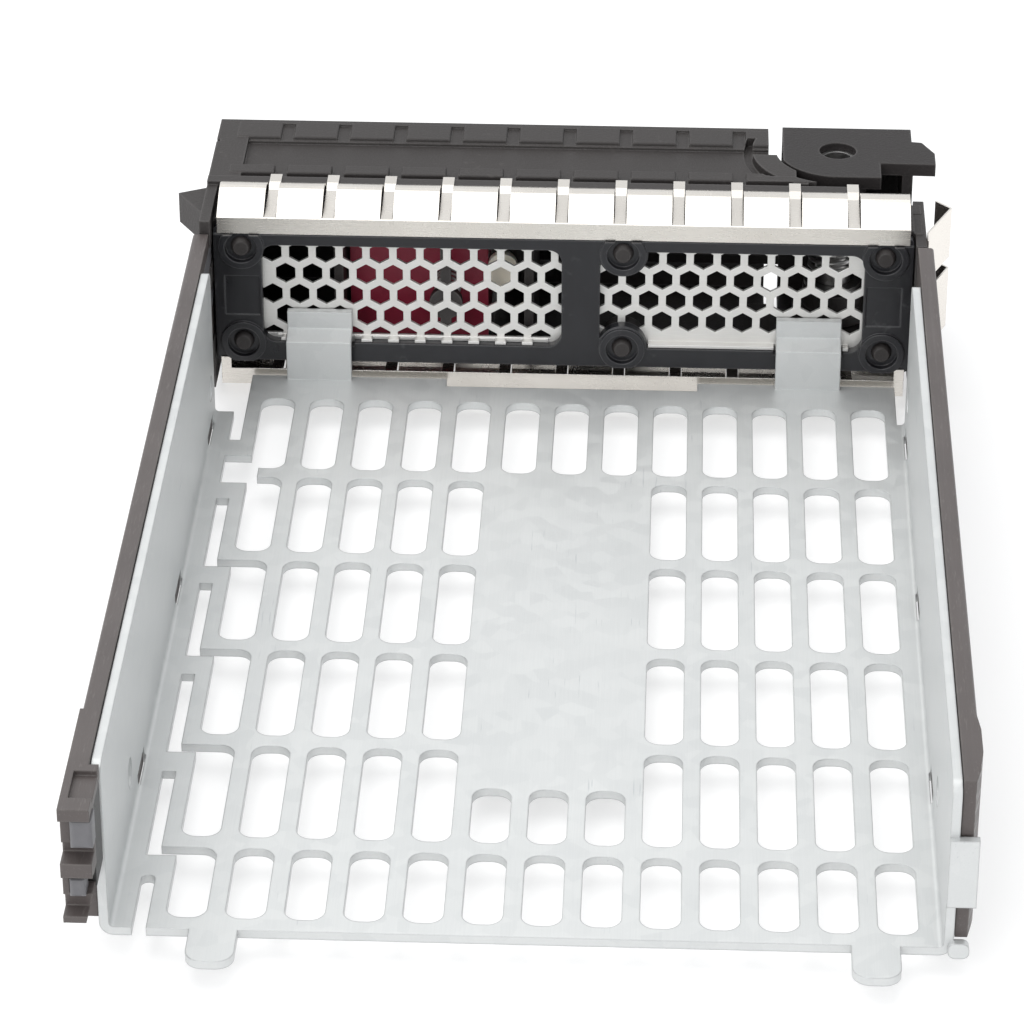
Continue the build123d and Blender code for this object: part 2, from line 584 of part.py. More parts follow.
def front_fascia():
    """Fixed front cover at the left end, with windows for the light pipes and a vent grille."""
    x1 = button_x0 - 0.9
    z0 = base_z + 1.2
    z1 = top_z - 1.2
    cover = block(-bezel_side + 0.1, x1, bezel_y + 0.1, nose_y, z0, z1)
    face_edges = [e for e in cover.edges() if e.center().Y > nose_y - 0.01]
    cover = fillet(face_edges, 0.7)
    lug_top = top_skin - wall - 0.1
    lugs = [block(-bezel_side + 4.2, x1 - 4, bezel_y - 4.0, bezel_y + 0.5, low, low + 1.4)
            for low in (lug_top - 1.4, 2 * mid_z - lug_top)]
    cover = joined(cover, lugs)
    cuts = []
    for low, high in pipe_bands:
        cuts.append(block(pipe_x0 - seat_gap, pipe_x0 + 3.5, bezel_y - 1, nose_y + 1,
                          low - seat_gap, high + seat_gap))
    for i in range(4):
        x = -bezel_side + 7.0 + i * 3.0
        cuts.append(block(x, x + 1.6, nose_y - 1.2, nose_y + 1, z0 + 3.0, z1 - 3.0))
    return cover.cut(*cuts)


# ---- contact springs ---------------------------------------------------------------------------
spring_steel = 0.2


def gasket(bottom):
    """Stamped strip: a flange on the frame, wide bowed fingers, and narrow straps that hook the rib."""
    t = spring_steel
    half = frame_side - 0.6
    y0 = frame_y - 0.25 if bottom else frame_y + 0.05
    z0 = floor_z + 23.0
    zb = floor_z + 25.6
    peak_y = frame_y + 6.6
    end_y = rib_y0 - 1.1
    end_z = top_z + 0.1
    peak_z = top_z + gasket_bow
    curve = Spline((y0, zb), (peak_y - 2.6, peak_z - 0.55), (peak_y, peak_z), (end_y, end_z))
    points = [curve @ (i / 12) for i in range(13)]
    under = [(p.X, p.Y - t) for p in points]
    upper = [(p.X, p.Y) for p in points]
    outline = [(y0, z0)] + upper + under[:0:-1] + [(y0 + t, zb - t), (y0 + t, z0)]
    strip = prism_x(outline, -half, half)
    step = tile_pitch
    count = int((2 * half - 10) / step) + 1
    cuts = []
    straps = []
    hook_z = top_z + 0.05
    hook_y = rib_y1 + 0.1
    strap_line = [(y0 + t, zb - t), (rib_y0 - 2.0, top_z - 0.4), (rib_y0 - 0.2, hook_z), (hook_y, hook_z),
                  (hook_y, hook_z - 1.0), (hook_y + t, hook_z - 1.0), (hook_y + t, hook_z + t),
                  (rib_y0 - 0.3, hook_z + t), (rib_y0 - 2.1, top_z - 0.2), (y0 + t, zb)]
    for i in range(count):
        x = gasket_first + i * step
        if x > pivot_x + 2.2:
            break
        cuts.append(block(x - gasket_slot / 2, x + gasket_slot / 2, y0 + t, end_y + 1, zb - 2, peak_z + 1))
        straps.append(prism_x(strap_line, x - gasket_slot / 2 + 0.08, x + gasket_slot / 2 - 0.08))
    strip = joined(strip.cut(*cuts), straps)
    if bottom:
        strip = strip.mirror(Plane((0, 0, mid_z), z_dir=(0, 0, 1)))
        low = 2 * mid_z - z0
        for side in (-1, 1):
            x0 = side * half
            x1 = side * (half - 1.5)
            strip += block(min(x0, x1), max(x0, x1), y0, y0 + t, low - 1.5, low + 1.9)
    return strip


def emi_spring_right():
    """Two flared contact fingers on the bezel's right side, on one flange."""
    t = spring_steel
    x0 = bezel_side + 0.05
    y0 = frame_y - 1.0
    tip = (side_reach, frame_y + 10.0)
    lip = (bezel_side + 1.9, frame_y + 12.4)
    outline = [(x0, y0), (x0 + t, y0), (x0 + t, y0 + 2.4), (tip[0], tip[1]), (lip[0], lip[1]),
               (lip[0] - t, lip[1] - t), (tip[0] - t * 1.6, tip[1] - 0.1), (x0, y0 + 2.6)]
    spans = ((floor_z + 4.7, floor_z + 14.6), (floor_z + 16.4, floor_z + 24.5))
    fingers = [prism_z(outline, low, high) for low, high in spans]
    flange = block(x0, x0 + t, y0, y0 + 2.4, spans[0][0], spans[1][1])
    return joined(flange, fingers)


# ---- ejector lever -----------------------------------------------------------------------------
handle_low = floor_z + 3.5
handle_high = floor_z + 19.5
handle_x0 = button_x1 + 0.6


def lever_outline():
    """Pivot-end plate seen from above: straight front edge, claw on the right, round rear-left corner."""
    far = bezel_y + 0.2
    right = bezel_side - 1.3
    left = pivot_x - 8.3
    claw = pivot_x + 14.7
    near = pivot_y - 9.0
    step_x = pivot_x + 6.35
    arc = [Vector(lever_arc, 0).rotate(Axis.Z, a) for a in range(-157, -89, 7)]
    corner = [(pivot_x + p.X, pivot_y + p.Y) for p in arc]
    return ([(left, far), (right, far), (right, pivot_y + 3.6), (right + 1.5, pivot_y + 3.4),
             (claw, pivot_y - 0.4), (claw, pivot_y - 4.2), (step_x, pivot_y - 4.0), (step_x, near)]
            + corner[::-1])


def ejector_lever():
    right = bezel_side - 1.3
    left = pivot_x - 8.3
    plates = [prism_z(lever_outline(), top_z - lever_plate, top_z),
              prism_z(lever_outline(), base_z, base_z + lever_plate)]
    web = block(left, right, bezel_y - 1.4, bezel_y + 0.2, base_z, top_z)
    side = block(right - 1.6, right, pivot_y - 4.0, bezel_y + 0.2, base_z, top_z)
    bar = block(handle_x0, right - 2.0, bezel_y + 0.2, nose_y, handle_low, handle_high)
    bar_back = block(left, right, bezel_y - 1.4, bezel_y + 0.5, handle_low, handle_high)
    grip = block(handle_x0, left + 1, bezel_y - 1.0, bezel_y + 0.6, handle_low, handle_low + 1.6)
    grip_top = block(handle_x0, left + 1, bezel_y - 1.0, bezel_y + 0.6, handle_high - 1.6, handle_high)
    end = block(handle_x0, handle_x0 + 6.0, bezel_y - 1.6, bezel_y + 0.6, handle_low, handle_high)
    lever = joined(web, plates + [side, bar, bar_back, grip, grip_top, end])
    fronts = [e for e in lever.edges().filter_by(Axis.X) if e.center().Y > nose_y - 0.01]
    lever = fillet(fronts, 0.8)
    cuts = [rod_z(pivot_hole, base_z - 1, top_z + 1, pivot_x, pivot_y)]
    first = handle_x0 + 9.0
    last = left - 2.0
    count = int((last - first) / 3.4)
    for i in range(count):
        x = first + i * 3.4
        cuts.append(block(x, x + 1.8, bezel_y - 3, nose_y + 1, handle_low + 3.2, handle_high - 3.2))
    return lever.cut(*cuts)


pin_radius = pivot_hole - running_gap


def lever_pivot_pin():
    """Hollow steel pin, pressed into the housing's two lugs; the lever's plates turn on its ends."""
    z0 = base_z + 1.2
    z1 = top_z - 1.2
    pin = rod_z(pin_radius, z0, z1, pivot_x, pivot_y)
    pin -= rod_z(pin_radius - 0.6, z0 - 1, z1 + 1, pivot_x, pivot_y)
    ring_z = mid_z - 7.6
    return pin - (rod_z(4, ring_z, ring_z + 0.7, pivot_x, pivot_y)
                  - rod_z(pin_radius - 0.3, ring_z - 1, ring_z + 2, pivot_x, pivot_y))


def pin_retaining_clip():
    """E-clip that sits in the pin's groove under the torsion spring."""
    ring_z = mid_z - 7.6 + 0.05
    clip = rod_z(4.4, ring_z, ring_z + 0.6, pivot_x, pivot_y)
    clip -= rod_z(pin_radius - 0.28, ring_z - 1, ring_z + 2, pivot_x, pivot_y)
    return clip - block(pivot_x - 1.6, pivot_x + 1.6, pivot_y, pivot_y + 6, ring_z - 1, ring_z + 2)


torsion_wire = 0.35
torsion_radius = 3.6
torsion_turns = 5


def lever_torsion_spring():
    """Coil round the pin; one leg behind the lever's front web, the other on the housing's rear ring."""
    z0 = mid_z - 5.0
    path = Helix(pitch=1.3, height=1.3 * torsion_turns, radius=torsion_radius, center=(pivot_x, pivot_y, z0))
    start = path @ 0
    section = Plane(origin=start, z_dir=path % 0) * Circle(torsion_wire)
    coil = sweep(section, path=path)
    top = path @ 1
    legs = [rod_y(torsion_wire, start.Y, start.Y + 4.0, start.X, start.Z),
            rod_y(torsion_wire, top.Y - 8.0, top.Y, top.X, top.Z)]
    knees = [Pos(start) * Sphere(torsion_wire), Pos(top) * Sphere(torsion_wire)]
    return joined(coil, legs + knees)


# ---- release button and kick-out plunger --------------------------------------------------------
button_rear_y = inner_y + 5.6
button_low = base_z + 4.6
button_high = top_z - 4.6


def release_button():
    x0 = button_x0 + 0.05
    x1 = button_x1 - 0.05
    button = block(x0, x1, button_rear_y, nose_y - 0.2, button_low, button_high)
    front = [e for e in button.edges() if e.center().Y > nose_y - 0.21]
    button = fillet(front, 0.8)
    button -= block(x0 + 1.6, x1 - 1.6, button_rear_y + 1.8, nose_y - 2.4, button_low - 1, button_high - 1.6)
    button -= rod_y(2.3, button_rear_y - 1, button_rear_y + 1.2, spring_x, spring_z)
    grips = []
    for i in range(5):
        z = button_low + 5 + 2.2 * i
        grips.append(block(x0 + 4, x1 - 4, nose_y - 1, nose_y, z, z + 0.9))
    return joined(button, grips)


def coil_spring(radius, wire, y0, y1, x, z, turns):
    height = y1 - y0 - 2 * wire
    path = Helix(pitch=height / turns, height=height, radius=radius, center=(0, 0, 0), direction=(0, 1, 0))
    section = Plane(origin=path @ 0, z_dir=path % 0) * Circle(wire)
    return Pos(x, y0 + wire, z) * sweep(section, path=path)


def button_spring():
    return coil_spring(1.8, 0.25, button_rear_y - 3.0 + 0.5, button_rear_y + 1.1, spring_x, spring_z, 4)


plunger_rear_y = inner_y + 1.0
plunger_front_y = bezel_y - 1.6 - moving_gap
plunger_collar_y = plunger_front_y - 3.0


def kick_plunger():
    """Acetal plunger that pushes the lever's free end out when the button lets it go."""
    shank = rod_y(shank_radius, plunger_rear_y + 0.5, plunger_front_y - 0.5, plunger_x, plunger_z)
    tip = rod_y(plunger_radius, plunger_collar_y, plunger_front_y, plunger_x, plunger_z)
    tip = fillet([e for e in tip.edges() if e.length > 10], 0.5)
    back = Plane((plunger_x, plunger_rear_y, plunger_z), x_dir=(1, 0, 0), z_dir=(0, -1, 0))
    head = extrude(back * RectangleRounded(2 * plunger_radius, 6.4, 2.1), 1.2, dir=(0, 1, 0))
    return joined(shank, [tip, head])


def plunger_spring():
    return coil_spring(shank_radius + 0.4, 0.22, sleeve_y1 + 0.1, plunger_collar_y - 0.1,
                       plunger_x, plunger_z, 7)


nodes = {
    "tray_pan": tray_pan(),
    "left_rail": left_rail(),
    "right_rail": right_rail(),
    "bezel_housing": bezel_housing(),
    "rear_frame": rear_frame(),
    "honeycomb_screen": honeycomb_screen(),
    "emi_spring_top": gasket(False),
    "emi_spring_bottom": gasket(True),
    "emi_spring_right": emi_spring_right(),
    "front_fascia": front_fascia(),
    "ejector_lever": ejector_lever(),
    "lever_pivot_pin": lever_pivot_pin(),
    "pin_retaining_clip": pin_retaining_clip(),
    "lever_torsion_spring": lever_torsion_spring(),
    "release_button": release_button(),
    "button_spring": button_spring(),
    "kick_plunger": kick_plunger(),
    "plunger_spring": plunger_spring(),
    "upper_light_pipe": light_pipe(0),
    "lower_light_pipe": light_pipe(1),
    "light_pipe_clip": light_pipe_clip(),
}

os.makedirs("parts", exist_ok=True)
for name, shape in nodes.items():
    solids = shape.solids()
    print(name, len(solids), round(shape.volume, 1))
    export_step(shape, "parts/" + name + ".step")
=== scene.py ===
import math
import bpy
import numpy as np
from mathutils import Matrix, Vector


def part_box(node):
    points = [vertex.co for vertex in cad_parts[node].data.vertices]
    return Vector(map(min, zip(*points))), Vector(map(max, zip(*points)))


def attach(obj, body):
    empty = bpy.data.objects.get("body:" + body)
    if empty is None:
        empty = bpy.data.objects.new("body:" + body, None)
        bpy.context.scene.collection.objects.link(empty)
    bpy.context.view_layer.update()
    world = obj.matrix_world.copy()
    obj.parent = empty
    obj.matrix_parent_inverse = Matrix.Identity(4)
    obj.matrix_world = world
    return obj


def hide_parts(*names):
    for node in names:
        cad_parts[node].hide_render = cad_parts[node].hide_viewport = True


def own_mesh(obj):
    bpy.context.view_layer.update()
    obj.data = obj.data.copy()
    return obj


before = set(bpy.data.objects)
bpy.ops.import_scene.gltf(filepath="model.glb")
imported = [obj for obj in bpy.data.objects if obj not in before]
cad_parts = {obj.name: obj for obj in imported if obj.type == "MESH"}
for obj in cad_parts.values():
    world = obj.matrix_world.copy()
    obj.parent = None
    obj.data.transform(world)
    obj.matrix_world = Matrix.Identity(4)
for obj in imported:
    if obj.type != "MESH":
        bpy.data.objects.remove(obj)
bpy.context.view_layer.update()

# ---- tray pan ------------------------------------------------------------------------------------
# One stamping of hot-dip galvanised steel, 1.2 mm thick, slotted by a turret punch and folded up
# at both sides. The zinc has a fine spangle under a light rolling grain, the slots' cut edges are a
# little glossier and painted a darker grey as painted shade for the shadow line round each slot,
# and screws and drives have left short scratches.
MM = 0.001


class Value:
    """One number that changes over a surface. + - * on it each add one Math node."""

    def __init__(self, finish, socket):
        self.finish = finish
        self.socket = socket

    def maths(self, operation, *inputs):
        return self.finish.node("ShaderNodeMath", {"operation": operation}, inputs)

    def __add__(self, other):
        return self.maths("ADD", self, other)

    __radd__ = __add__

    def __sub__(self, other):
        return self.maths("SUBTRACT", self, other)

    def __rsub__(self, other):
        return self.maths("SUBTRACT", other, self)

    def __mul__(self, other):
        return self.maths("MULTIPLY", self, other)

    __rmul__ = __mul__

    def above(self, level, softness):
        """0 below level, 1 above level + softness, and a straight ramp between."""
        return self.finish.node("ShaderNodeMapRange", {"clamp": True},
                                {"Value": self, "From Min": level, "From Max": level + softness})


class Finish:
    """A procedural material on Object coordinates, with one Principled shader."""

    def __init__(self, name, **constants):
        self.material = bpy.data.materials.new(name)
        self.material.use_nodes = True
        self.tree = self.material.node_tree
        self.shader = self.tree.nodes["Principled BSDF"]
        for socket, value in constants.items():
            self.shader.inputs[socket.replace("_", " ")].default_value = value
        self.place = self.node("ShaderNodeTexCoord", {}, {}, "Object")

    def node(self, kind, settings, inputs, output=0):
        """Adds a node, sets it up, fills or links its inputs, and gives one output back."""
        made = self.tree.nodes.new(kind)
        for setting, value in settings.items():
            setattr(made, setting, value)
        pairs = inputs.items() if isinstance(inputs, dict) else enumerate(inputs)
        for key, value in pairs:
            if isinstance(value, Value):
                self.tree.links.new(value.socket, made.inputs[key])
            else:
                made.inputs[key].default_value = value
        return Value(self, made.outputs[output])

    def stretched(self, x, y, z):
        """Object coordinates with each axis multiplied, so that a pattern runs long one way."""
        return self.node("ShaderNodeMapping", {}, {"Vector": self.place, "Scale": (x, y, z)})

    def noise(self, size, detail=3.0, at=None, roughness=0.5):
        """Soft random value from 0 to 1 whose patches are about size metres across."""
        return self.node("ShaderNodeTexNoise", {}, {"Vector": at or self.place, "Scale": 1 / size,
                                                    "Detail": detail, "Roughness": roughness})

    def cells(self, size, output="Distance"):
        """Voronoi cells about size metres across."""
        return self.node("ShaderNodeTexVoronoi", {}, {"Vector": self.place, "Scale": 1 / size}, output)

    def mix(self, factor, first, second):
        """The colour first where factor is 0 and second where it is 1."""
        made = self.node("ShaderNodeMix", {"data_type": "RGBA"}, {0: factor}, 2)
        for slot, colour in ((6, first), (7, second)):
            if isinstance(colour, Value):
                self.tree.links.new(colour.socket, made.socket.node.inputs[slot])
            else:
                made.socket.node.inputs[slot].default_value = (*colour, 1)
        return made

    def rounded(self, radius):
        """Surface normal with every edge turned over radius metres."""
        return self.node("ShaderNodeBevel", {"samples": 6}, {"Radius": radius})

    def edge(self, radius):
        """1 on an edge, falling to 0 at radius metres from it: 1 less the two normals' dot product."""
        flat = self.node("ShaderNodeNewGeometry", {}, {}, "Normal")
        turned = self.rounded(radius)
        same = self.node("ShaderNodeVectorMath", {"operation": "DOT_PRODUCT"}, [flat, turned], "Value")
        return (1 - same).above(0.02, 0.25)

    def bump(self, height, depth, radius=0.15 * MM):
        """Normal from a height pattern of that depth in metres, on edges rounded to radius."""
        return self.node("ShaderNodeBump", {}, {"Strength": 1.0, "Distance": depth, "Height": height,
                                                "Normal": self.rounded(radius)})

    def set(self, **links):
        """Links values to the shader's sockets."""
        for socket, value in links.items():
            self.tree.links.new(value.socket, self.shader.inputs[socket.replace("_", " ")])


def paint(finish, *names):
    """Gives the finish to CAD nodes, by name, or to new pieces."""
    for name in names:
        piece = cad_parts[name] if isinstance(name, str) else name
        if not piece.material_slots:
            piece.data.materials.append(finish.material)
        for slot in piece.material_slots:
            slot.material = finish.material


zinc = Finish("galvanised_steel", Metallic=0.50)
spangle = zinc.cells(2.6 * MM, output="Color")
spangle = zinc.node("ShaderNodeSeparateColor", {}, {"Color": spangle}, 0)
grain = zinc.noise(0.16 * MM, 2.0, zinc.stretched(1, 0.02, 1))
cloud = zinc.noise(26 * MM, 4.0)
scratch_line = zinc.noise(0.35 * MM, 1.0, zinc.stretched(1.0, 0.045, 1.0))
scratch_patch = zinc.noise(9 * MM, 2.0).above(0.56, 0.12)
scratch = scratch_line.above(0.69, 0.03) * scratch_patch
# Edge mask round the slots and sheet edges: it lowers the roughness there, and in the colour it darkens
# them as painted shade.
cut_edge_and_shade = zinc.edge(0.45 * MM)
tone = cloud * 0.4 + spangle * 0.26 + grain * 0.34
base = zinc.mix(tone, (0.520, 0.535, 0.538), (0.655, 0.664, 0.660))
# Painted shade: the edges are darkened towards grey (0.38) to stand for the shadow line round each slot.
base = zinc.mix(cut_edge_and_shade * 0.6, base, (0.38, 0.39, 0.39))
zinc.set(Base_Color=zinc.mix(scratch * 0.5, base, (0.40, 0.42, 0.44)),
         Roughness=0.47 + 0.08 * (cloud - 0.5) + 0.08 * (spangle - 0.5) - 0.08 * cut_edge_and_shade,
         Normal=zinc.bump(spangle * 0.2 + grain * 0.5 - scratch * 0.8, 0.008 * MM, 0.25 * MM))
paint(zinc, "tray_pan")

# ---- side rails and light pipes ------------------------------------------------------------------
# Injection-moulded strips of glass-filled nylon, snapped to the pan from outside. They slide in the
# bay, so they are polished in long streaks, and the edges have turned brown-grey. Two smoke-grey
# acrylic bars lie in the left rail, and their frosted lens heads show at its rear end.
nylon = Finish("rail_nylon")
fibre = nylon.noise(0.22 * MM, 3.0, nylon.stretched(1, 0.12, 1))
mottle = nylon.noise(11 * MM, 4.0)
streak = nylon.noise(0.9 * MM, 2.0, nylon.stretched(1, 0.02, 1)).above(0.52, 0.14)
worn = nylon.edge(0.5 * MM) * (0.35 + 0.65 * mottle.above(0.40, 0.2))
base = nylon.mix(mottle, (0.056, 0.046, 0.044), (0.096, 0.082, 0.079))
base = nylon.mix(fibre.above(0.60, 0.1) * 0.35, base, (0.15, 0.135, 0.13))
nylon.set(Base_Color=nylon.mix(worn * 0.55, base, (0.19, 0.175, 0.16)),
          Roughness=0.46 - 0.14 * streak + 0.14 * (mottle - 0.5),
          Normal=nylon.bump(fibre, 0.03 * MM, 0.3 * MM))
paint(nylon, "left_rail", "right_rail")

clear = Finish("light_pipe_clear", IOR=1.49, Transmission_Weight=0.35)
haze = clear.noise(2.2 * MM, 3.0)
frost = clear.noise(0.12 * MM, 2.0)
chipped = clear.edge(0.25 * MM)
base = clear.mix(haze, (0.13, 0.13, 0.14), (0.23, 0.225, 0.24))
clear.set(Base_Color=clear.mix(chipped * 0.5, base, (0.55, 0.55, 0.56)),
          Roughness=0.30 + 0.25 * frost, Normal=clear.bump(frost, 0.01 * MM, 0.2 * MM))
paint(clear, "upper_light_pipe", "lower_light_pipe")

clip_black = Finish("clip_plastic")
speck = clip_black.noise(0.3 * MM, 3.0)
base = clip_black.mix(speck, (0.018, 0.018, 0.018), (0.040, 0.039, 0.038))
clip_black.set(Base_Color=clip_black.mix(clip_black.edge(0.3 * MM) * 0.4, base, (0.12, 0.12, 0.12)),
               Roughness=0.42 + 0.2 * speck, Normal=clip_black.bump(speck, 0.02 * MM))
paint(clip_black, "light_pipe_clip")

# ---- bezel housing, front cover and lever --------------------------------------------------------
# Black polycarbonate-ABS mouldings with a spark-eroded texture all over. Some patches are rubbed
# smooth, a little dust lies in others, and the edges are grey where bays and fingers wear them.
def eroded(name, dark, light, gloss, shine):
    """A spark-eroded black plastic: two scales of grain in the bump, worn edges, rubbed patches."""
    plastic = Finish(name, Specular_IOR_Level=shine)
    pits = plastic.noise(0.24 * MM, 3.0, roughness=0.6)
    lumps = plastic.cells(0.42 * MM)
    patch = plastic.noise(14 * MM, 4.0)
    dust = plastic.noise(1.3 * MM, 5.0).above(0.60, 0.16) * patch.above(0.45, 0.25)
    rubbed = plastic.edge(0.55 * MM) * (0.4 + 0.6 * plastic.noise(3.5 * MM, 3.0))
    tint = plastic.mix(0.55 * patch + 0.45 * pits, dark, light)
    tint = plastic.mix(dust * 0.16, tint, (0.22, 0.205, 0.195))
    plastic.set(Base_Color=plastic.mix(rubbed * 0.5, tint, (0.17, 0.160, 0.155)),
                Roughness=gloss + 0.22 * (pits - 0.5) + 0.14 * (patch - 0.5) - 0.10 * rubbed,
                Normal=plastic.bump(pits * 0.7 + lumps * 0.4, 0.07 * MM, 0.3 * MM))
    return plastic


paint(eroded("bezel_plastic", (0.014, 0.0115, 0.011), (0.038, 0.033, 0.032), 0.58, 0.45), "bezel_housing")
paint(eroded("fascia_plastic", (0.014, 0.013, 0.013), (0.036, 0.034, 0.034), 0.54, 0.45), "front_fascia")
paint(eroded("lever_plastic", (0.009, 0.0075, 0.0075), (0.026, 0.022, 0.022), 0.54, 0.34), "ejector_lever")

# ---- rear frame ----------------------------------------------------------------------------------
# A thin glossy black moulding that clamps the screen to the housing, held by six heat stakes. Its
# gloss is broken by flow marks from the moulding and by a few pale smears.
gloss_black = Finish("frame_plastic", Coat_Roughness=0.2)
flow = gloss_black.noise(3.2 * MM, 5.0, gloss_black.stretched(1, 1, 0.45), 0.6)
smear = gloss_black.noise(1.5 * MM, 5.0).above(0.60, 0.14) * gloss_black.noise(8 * MM, 2.0).above(0.48, 0.2)
rubbed = gloss_black.edge(0.4 * MM)
base = gloss_black.mix(flow, (0.004, 0.004, 0.0055), (0.013, 0.013, 0.017))
base = gloss_black.mix(smear * 0.22, base, (0.20, 0.20, 0.205))
gloss_black.set(Base_Color=gloss_black.mix(rubbed * 0.45, base, (0.14, 0.14, 0.145)),
                Roughness=0.30 + 0.22 * (flow - 0.4) + 0.25 * smear,
                Normal=gloss_black.bump(flow, 0.05 * MM, 0.3 * MM))
paint(gloss_black, "rear_frame")

# ---- honeycomb screen ----------------------------------------------------------------------------
# Half-millimetre steel sheet, punched with staggered hexagonal holes and nickel plated. It blocks
# radio noise and lets cooling air through. The punching leaves a bright burr round each hole.
nickel = Finish("screen_steel", Metallic=0.65)
fine = nickel.noise(0.25 * MM, 2.0, nickel.stretched(0.08, 1, 1))
tarnish = nickel.noise(7 * MM, 4.0)
burr = nickel.edge(0.22 * MM)
base = nickel.mix(0.6 * tarnish + 0.4 * fine, (0.60, 0.59, 0.57), (0.82, 0.81, 0.79))
nickel.set(Base_Color=nickel.mix(burr * 0.5, base, (0.93, 0.93, 0.92)),
           Roughness=0.36 + 0.14 * (tarnish - 0.5) + 0.08 * fine,
           Normal=nickel.bump(fine, 0.006 * MM, 0.12 * MM))
paint(nickel, "honeycomb_screen")

# ---- contact springs -----------------------------------------------------------------------------
# Bright stainless spring strip, 0.2 mm thick, blanked and bowed in a progressive die. The fingers
# press on the bay's walls, so the strip carries fine rub marks across its rolling lines.
stainless = Finish("contact_steel", Metallic=1.0)
rolled = stainless.noise(0.20 * MM, 2.0, stainless.stretched(0.03, 1, 1))
rub = stainless.noise(0.30 * MM, 1.0, stainless.stretched(1, 0.06, 1)).above(0.66, 0.06)
oily = stainless.noise(12 * MM, 3.0)
base = stainless.mix(oily, (0.68, 0.640, 0.590), (0.84, 0.805, 0.755))
base = stainless.mix(rolled * 0.25, base, (0.66, 0.63, 0.59))
stainless.set(Base_Color=stainless.mix(stainless.edge(0.2 * MM) * 0.4, base, (0.96, 0.95, 0.93)),
              Roughness=0.24 + 0.06 * rolled + 0.10 * (oily - 0.5) + 0.08 * rub,
              Normal=stainless.bump(rolled + 0.5 * rub, 0.002 * MM, 0.1 * MM))
paint(stainless, "emi_spring_top", "emi_spring_bottom", "emi_spring_right")

# ---- release button, plunger and their springs ---------------------------------------------------
# The button is a hollow maroon ABS moulding that slides in the housing, and the plunger beside it is
# cream acetal. Both are pushed by small coil springs of drawn music wire, cut and ground flat.
maroon = Finish("button_plastic", Specular_IOR_Level=0.5)
grainy = maroon.noise(0.30 * MM, 3.0)
swirl = maroon.noise(9 * MM, 4.0)
base = maroon.mix(swirl, (0.310, 0.018, 0.046), (0.420, 0.038, 0.082))
maroon.set(Base_Color=maroon.mix(maroon.edge(0.5 * MM) * 0.45, base, (0.50, 0.13, 0.19)),
           Roughness=0.36 + 0.2 * (grainy - 0.5) + 0.12 * (swirl - 0.5),
           Normal=maroon.bump(grainy, 0.03 * MM, 0.35 * MM))
paint(maroon, "release_button")

acetal = Finish("plunger_acetal", Subsurface_Weight=0.1)
waxy = acetal.noise(2.5 * MM, 4.0)
base = acetal.mix(waxy, (0.66, 0.58, 0.47), (0.80, 0.73, 0.62))
acetal.set(Base_Color=acetal.mix(acetal.edge(0.4 * MM) * 0.4, base, (0.90, 0.86, 0.78)),
           Roughness=0.40 + 0.15 * (waxy - 0.5), Normal=acetal.bump(waxy, 0.03 * MM, 0.3 * MM))
paint(acetal, "kick_plunger")

wire = Finish("spring_wire", Metallic=1.0)
drawn = wire.noise(0.12 * MM, 2.0)
wire.set(Base_Color=wire.mix(drawn, (0.38, 0.375, 0.37), (0.66, 0.655, 0.65)),
         Roughness=0.28 + 0.18 * drawn)
paint(wire, "plunger_spring", "lever_torsion_spring")


def coil(name, centre, span, radius, thick, turns, sides=10, steps=40):
    """A closed compression spring along Y. Its centreline is x = X + r cos a, z = Z + r sin a, with
    a from 0 to 2 pi times turns. y climbs by 2.05 wire radii over each end turn, so that those lie
    closed, and by the rest of the length over the turns between. A circle of the wire's radius
    follows the centreline, and both ends are capped."""
    touching_turn = 2.05
    share = np.linspace(0, 1, turns * steps + 1)
    flat = 1.0 / turns
    length = span[1] - span[0] - 2 * thick
    close = thick * touching_turn / length
    first = np.clip(share / flat, 0, 1)
    middle = np.clip((share - flat) / (1 - 2 * flat), 0, 1)
    final = np.clip((share - 1 + flat) / flat, 0, 1)
    rise = close * first + (1 - 2 * close) * middle + close * final
    a = 2 * np.pi * turns * share
    line = np.stack([centre[0] + radius * np.cos(a), span[0] + thick + length * rise,
                     centre[1] + radius * np.sin(a)], 1)
    along = np.gradient(line, axis=0)
    along /= np.linalg.norm(along, axis=1, keepdims=True)
    out = np.stack([np.cos(a), np.zeros_like(a), np.sin(a)], 1)
    side = np.cross(along, out)
    b = np.linspace(0, 2 * np.pi, sides, endpoint=False)
    ring = out[:, None] * np.cos(b)[None, :, None] + side[:, None] * np.sin(b)[None, :, None]
    points = (line[:, None] + thick * ring).reshape(-1, 3)
    i, j = np.meshgrid(np.arange(len(share) - 1), np.arange(sides), indexing="ij")
    k = (j + 1) % sides
    here = i * sides
    beyond = (i + 1) * sides
    quads = np.stack([here + j, beyond + j, beyond + k, here + k], -1).reshape(-1, 4)
    last = (len(share) - 1) * sides
    caps = [list(range(sides)), [last + n for n in range(sides)][::-1]]
    mesh = bpy.data.meshes.new(name)
    mesh.from_pydata(points.tolist(), [], quads.tolist() + caps)
    mesh.polygons.foreach_set("use_smooth", [len(p.vertices) == 4 for p in mesh.polygons])
    piece = bpy.data.objects.new(name, mesh)
    bpy.context.scene.collection.objects.link(piece)
    return piece


spring_low, spring_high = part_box("button_spring")
button_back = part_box("release_button")[0].y
housing_pad = 1.4 * MM
pocket_floor = 1.2 * MM
coil_radius = 1.8 * MM
wire_radius = 0.25 * MM
coil_turns = 6
seat_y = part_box("honeycomb_screen")[1].y + housing_pad
spring_mid = (spring_low + spring_high) / 2
button_coil = coil("button_return_spring", (spring_mid.x, spring_mid.z),
                   (seat_y, button_back + pocket_floor), coil_radius, wire_radius, coil_turns)
paint(wire, button_coil)
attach(button_coil, "tray")
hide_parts("button_spring")
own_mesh(button_coil)

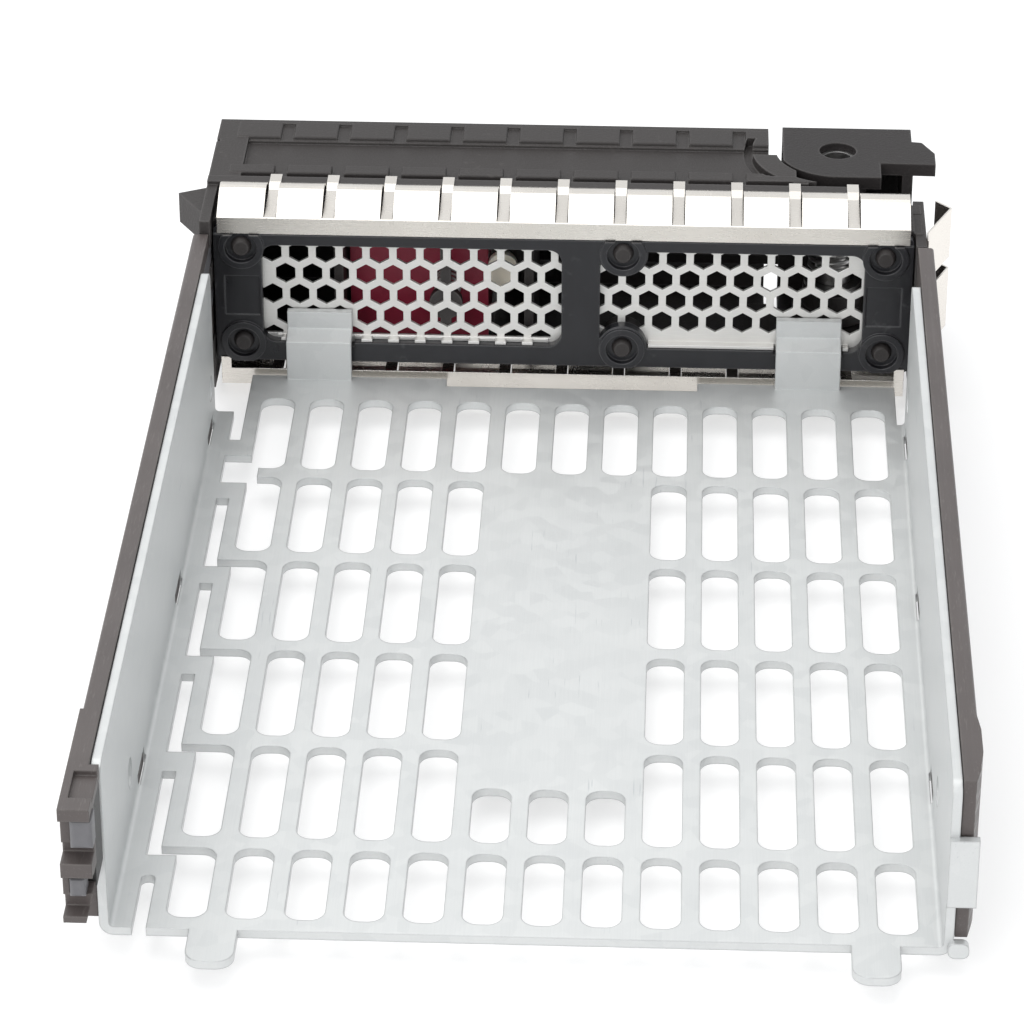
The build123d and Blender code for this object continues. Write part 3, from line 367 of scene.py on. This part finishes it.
# ---- pivot pin and its clip ----------------------------------------------------------------------
# A rolled tube of plain steel, pressed into the housing's lugs, and a blackened E-clip in its groove.
ground = Finish("pin_steel", Metallic=1.0)
turned = ground.noise(0.10 * MM, 2.0, ground.stretched(0.05, 0.05, 1))
stain = ground.noise(1.8 * MM, 3.0)
ground.set(Base_Color=ground.mix(0.5 * turned + 0.5 * stain, (0.36, 0.355, 0.35), (0.66, 0.655, 0.65)),
           Roughness=0.26 + 0.2 * stain, Normal=ground.bump(turned, 0.004 * MM, 0.12 * MM))
paint(ground, "lever_pivot_pin")

blackened = Finish("clip_steel", Metallic=0.85)
oxide = blackened.noise(0.5 * MM, 4.0)
base = blackened.mix(oxide, (0.07, 0.068, 0.066), (0.17, 0.165, 0.16))
blackened.set(Base_Color=blackened.mix(blackened.edge(0.15 * MM) * 0.6, base, (0.45, 0.44, 0.43)),
              Roughness=0.34 + 0.2 * oxide)
paint(blackened, "pin_retaining_clip")

# ---- floor, light and camera ---------------------------------------------------------------------
# A white table in a light tent: bright all round, a broad softbox overhead and a weaker one in front.
half = 3.0
corners = [(-half, -half, 0), (half, -half, 0), (half, half, 0), (-half, half, 0)]
table_mesh = bpy.data.meshes.new("floor")
table_mesh.from_pydata(corners, [], [(0, 1, 2, 3)])
table = bpy.data.objects.new("floor", table_mesh)
bpy.context.scene.collection.objects.link(table)
paper = Finish("floor_white", Roughness=0.9)
paper.shader.inputs["Base Color"].default_value = (0.52, 0.52, 0.522, 1)
paper.shader.inputs["Emission Color"].default_value = (1.0, 1.0, 1.0, 1)
paper.shader.inputs["Emission Strength"].default_value = 0.50
paint(paper, table)
bpy.context.scene.view_settings.view_transform = "Standard"

world = bpy.data.worlds.new("light_tent")
bpy.context.scene.world = world
world.use_nodes = True
sky = world.node_tree.nodes["Background"]
sky.inputs["Color"].default_value = (0.97, 0.985, 1.0, 1)
sky.inputs["Strength"].default_value = 0.95


def softbox(name, place, aim, size, watts, colour):
    """A square area light at place, facing aim."""
    data = bpy.data.lights.new(name, "AREA")
    data.shape = "SQUARE"
    data.size = size
    data.energy = watts
    data.color = colour
    lamp = bpy.data.objects.new(name, data)
    bpy.context.scene.collection.objects.link(lamp)
    lamp.location = place
    lamp.rotation_euler = (Vector(aim) - Vector(place)).to_track_quat("-Z", "Y").to_euler()


softbox("overhead_softbox", (-0.25, 0.15, 0.9), (0, 0.02, 0), 1.2, 6.2, (1.0, 0.99, 0.97))
softbox("front_softbox", (-0.35, -0.9, 0.5), (0, 0, 0.01), 0.5, 3.0, (1.0, 0.99, 0.975))

eye = Vector((16.1614, -516.2876, 317.6456)) * MM
yaw = math.radians(-2.45287)
down = math.radians(30.38256)
roll = math.radians(0.02235)
forward = Vector((math.sin(yaw) * math.cos(down), math.cos(yaw) * math.cos(down), -math.sin(down)))
right = Vector((math.cos(yaw), -math.sin(yaw), 0))
up = right.cross(forward)
right, up = right * math.cos(roll) - up * math.sin(roll), up * math.cos(roll) + right * math.sin(roll)
lens = bpy.data.cameras.new("camera")
lens.sensor_width = 36.0
lens.lens = 152.99
lens.shift_x = 0.00655
lens.shift_y = 0.00463
lens.clip_start = 0.01
camera = bpy.data.objects.new("camera", lens)
bpy.context.scene.collection.objects.link(camera)
camera.matrix_world = Matrix((right, up, -forward)).transposed().to_4x4()
camera.location = eye
bpy.context.scene.camera = camera
